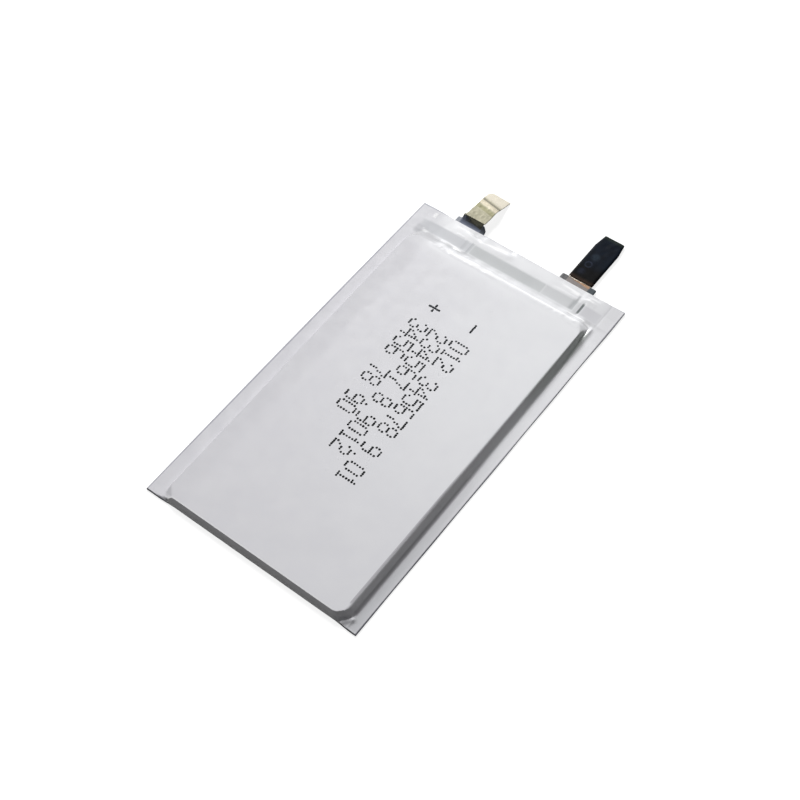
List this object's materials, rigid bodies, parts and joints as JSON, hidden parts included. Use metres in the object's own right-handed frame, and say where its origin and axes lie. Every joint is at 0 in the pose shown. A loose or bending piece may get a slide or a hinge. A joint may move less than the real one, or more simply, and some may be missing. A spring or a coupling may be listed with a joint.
{
  "type": "pouch battery cell",
  "caption": "Thin rectangular lithium pouch cell in formed aluminium-laminate film, with a bent bare positive tab and a sleeved negative tab along one short edge.",
  "frame": {"origin": "centre of the flat back face of the pouch", "axes": "+Y towards the tabs along the cell's length, +Z out of the formed front face, +X towards the negative tab"},
  "size_m": [0.0296, 0.0583, 0.001],
  "materials": {
    "laminate_film": "satin nylon-faced aluminium laminate",
    "separator_film": "matt white porous polyolefin film",
    "aluminium_foil": "plain rolled aluminium foil",
    "cathode_coating": "calendered black oxide coating",
    "copper_foil": null,
    "anode_coating": "calendered dark grey graphite coating",
    "stack_tape": "pale yellow insulating tape",
    "aluminium_lead": "bare rolled aluminium",
    "nickel": "bare nickel, warm grey",
    "positive_sealant": "grey-blue polypropylene sealant",
    "negative_sealant": "milky polypropylene sealant over nickel",
    "weld_tape": "amber insulating tape",
    "sleeve": "black shrunk insulating tube"
  },
  "bodies": {
    "cell": {"front_film": "laminate_film", "back_film": "laminate_film", "separator": "separator_film", "lower_cathode_foil": "aluminium_foil", "upper_cathode_foil": "aluminium_foil", "lower_cathode_coating": "cathode_coating", "upper_cathode_coating": "cathode_coating", "lower_anode_foil": "copper_foil", "middle_anode_foil": "copper_foil", "upper_anode_foil": "copper_foil", "lower_anode_coating": "anode_coating", "middle_anode_coating": "anode_coating", "upper_anode_coating": "anode_coating", "left_stack_tape": "stack_tape", "right_stack_tape": "stack_tape", "bottom_stack_tape": "stack_tape", "positive_lead": "aluminium_lead", "positive_nickel_strip": "nickel", "negative_lead": "nickel", "positive_sealant_front": "positive_sealant", "positive_sealant_back": "positive_sealant", "negative_sealant_front": "negative_sealant", "negative_sealant_back": "negative_sealant", "positive_weld_tape_front": "weld_tape", "positive_weld_tape_back": "weld_tape", "negative_weld_tape_front": "weld_tape", "negative_weld_tape_back": "weld_tape"},
    "sleeve": {"negative_sleeve": "sleeve"}
  },
  "joints": [
    {"name": "sleeve_pull", "type": "slide", "parent": "cell", "child": "sleeve", "axis": [0, 1, 0], "range_m": [0, 0.009]}
  ]
}
